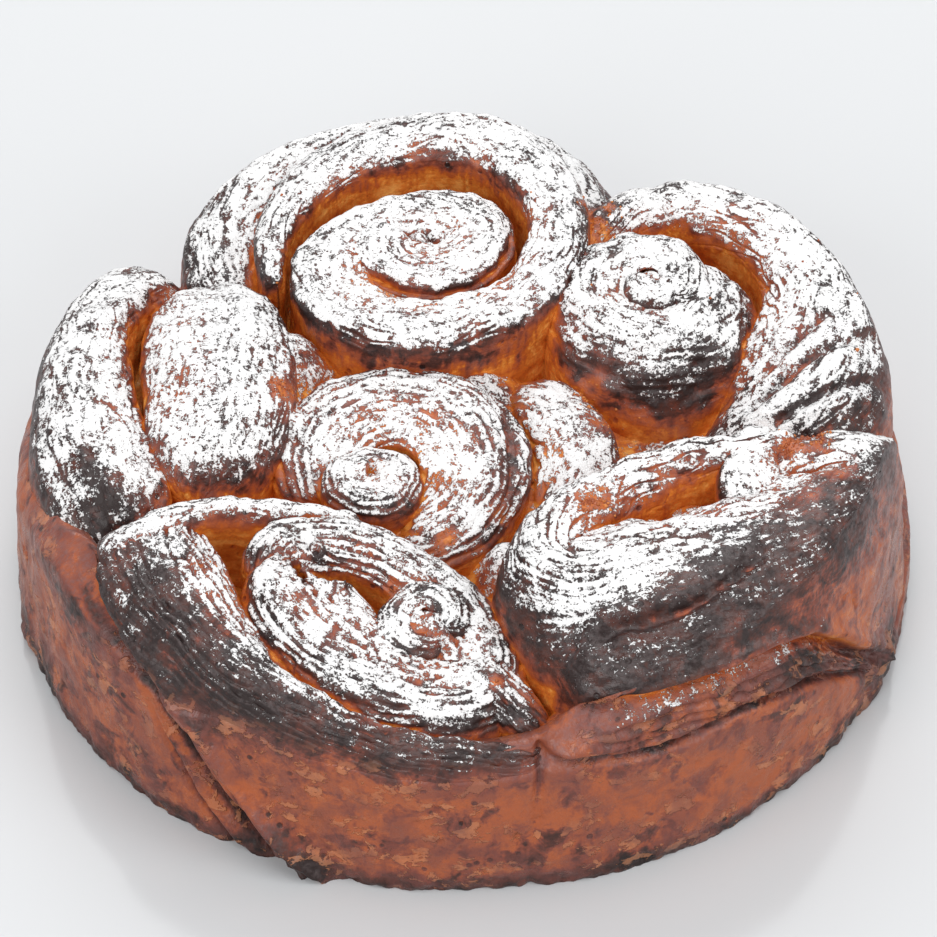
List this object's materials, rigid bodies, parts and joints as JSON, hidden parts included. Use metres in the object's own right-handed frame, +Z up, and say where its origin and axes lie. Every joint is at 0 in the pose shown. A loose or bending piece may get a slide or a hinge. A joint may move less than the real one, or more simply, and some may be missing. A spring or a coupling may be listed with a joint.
{
  "type": "rose bread",
  "caption": "Round pan-baked loaf of coiled rolls fused into a rose pattern, domed on top, with a moulded wall and a flat underside to rest on.",
  "frame": {"origin": "centre of the flat underside, on the axis of the round pan that moulded the loaf", "axes": "+Z up through the coiled top, +X to the right and +Y to the back of the shown view; the highest roll is at +X -Y"},
  "size_m": [0.24, 0.24, 0.07],
  "materials": {
    "crust": "deep brown baked crust, semi-gloss on the wall, dusted white with icing sugar on the top"
  },
  "bodies": {
    "root": {"rose_bread": "crust"}
  },
  "joints": []
}
